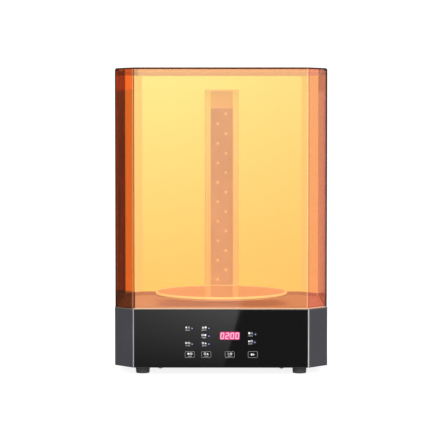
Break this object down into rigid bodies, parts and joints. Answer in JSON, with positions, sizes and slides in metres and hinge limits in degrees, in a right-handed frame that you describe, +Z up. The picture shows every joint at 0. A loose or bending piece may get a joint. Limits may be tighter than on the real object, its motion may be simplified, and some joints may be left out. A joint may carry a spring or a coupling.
{
  "type": "uv curing station",
  "caption": "Bench-top UV curing station: octagonal base with touch panel and driven turntable, LED column, lift-off amber hood.",
  "frame": {"origin": "on the floor under the turntable's axis, the bottom centre of the box", "axes": "+X to the right seen from the front, +Y to the rear, +Z up; the control panel faces -Y"},
  "size_m": [0.29, 0.226, 0.4153],
  "materials": {
    "amber_acrylic": "clear polished acrylic, amber, blocks UV",
    "housing_grey": "moulded ABS, fine satin texture",
    "panel_black": "polished black acrylic",
    "deck_grey": "moulded ABS, satin",
    "turntable_silver": "bright glossy moulding",
    "rubber_black": "soft moulded rubber",
    "silver_aluminium": "satin anodised extrusion",
    "clear_acrylic": "clear polished acrylic",
    "column_plastic": "moulded ABS, satin",
    "led_board_grey": "solder resist, satin",
    "led_white": "LED package with a clear dome",
    "board_green": "solder resist",
    "component_black": "moulded component bodies",
    "display_red": "lit display face",
    "indicator_blue": "diffused lit lens",
    "touch_pad": "conductive foam",
    "zinc_steel": "zinc plated steel",
    "motor_black": "black painted steel",
    "bronze": "sintered bronze",
    "gear_natural": "natural acetal",
    "switch_black": "moulded polyamide",
    "nickel": "nickel plated brass"
  },
  "bodies": {
    "base": {"base_housing": "housing_grey", "deck_plate": "deck_grey", "bottom_plate": "housing_grey", "front_panel": "panel_black", "rubber_feet": "rubber_black", "foot_screws": "zinc_steel", "bottom_plate_screws": "zinc_steel", "control_board": "board_green", "control_board_screws": "zinc_steel", "control_board_parts": "component_black", "display_module": "display_red", "indicator_leds": "indicator_blue", "touch_pads": "touch_pad", "bearing_housing": "component_black", "bearing_screws": "zinc_steel", "shaft_bush_upper": "bronze", "shaft_bush_lower": "bronze", "drive_motor": "motor_black", "motor_bracket": "zinc_steel", "motor_screws": "zinc_steel", "bracket_screws": "zinc_steel", "column_channel": "silver_aluminium", "column_window": "clear_acrylic", "column_cap": "column_plastic", "column_foot": "column_plastic", "column_screws": "zinc_steel", "led_board": "led_board_grey", "uv_leds": "led_white", "rocker_frame": "switch_black", "dc_inlet": "component_black", "dc_inlet_pin": "nickel", "dc_inlet_nut": "nickel", "driver_board": "board_green", "driver_parts": "component_black", "driver_screws": "zinc_steel"},
    "hood": {"uv_hood": "amber_acrylic"},
    "turntable": {"turntable_disc": "turntable_silver", "turntable_hub": "silver_aluminium", "turntable_shaft": "zinc_steel", "turntable_gear": "gear_natural", "shaft_circlip": "zinc_steel"},
    "pinion": {"motor_shaft": "zinc_steel", "drive_pinion": "gear_natural"},
    "rocker": {"power_rocker": "switch_black"}
  },
  "joints": [
    {"name": "hood_lift", "type": "slide", "parent": "base", "child": "hood", "axis": [0, 0, 1], "range_m": [0, 0.33]},
    {"name": "turntable_spin", "type": "hinge", "parent": "base", "child": "turntable", "pos_m": [0, 0, 0.0955], "axis": [0, 0, 1], "continuous": true},
    {"name": "pinion_spin", "type": "hinge", "parent": "base", "child": "pinion", "pos_m": [0.0405, 0, 0.068], "axis": [0, 0, 1], "continuous": true},
    {"name": "power_rocker", "type": "hinge", "parent": "base", "child": "rocker", "pos_m": [-0.082, 0.1064, 0.046], "axis": [1, 0, 0], "range_deg": [-14, 0]}
  ],
  "couplings": [
    {"joint": "pinion_spin", "follows": "turntable_spin", "ratio": -2.8571}
  ]
}
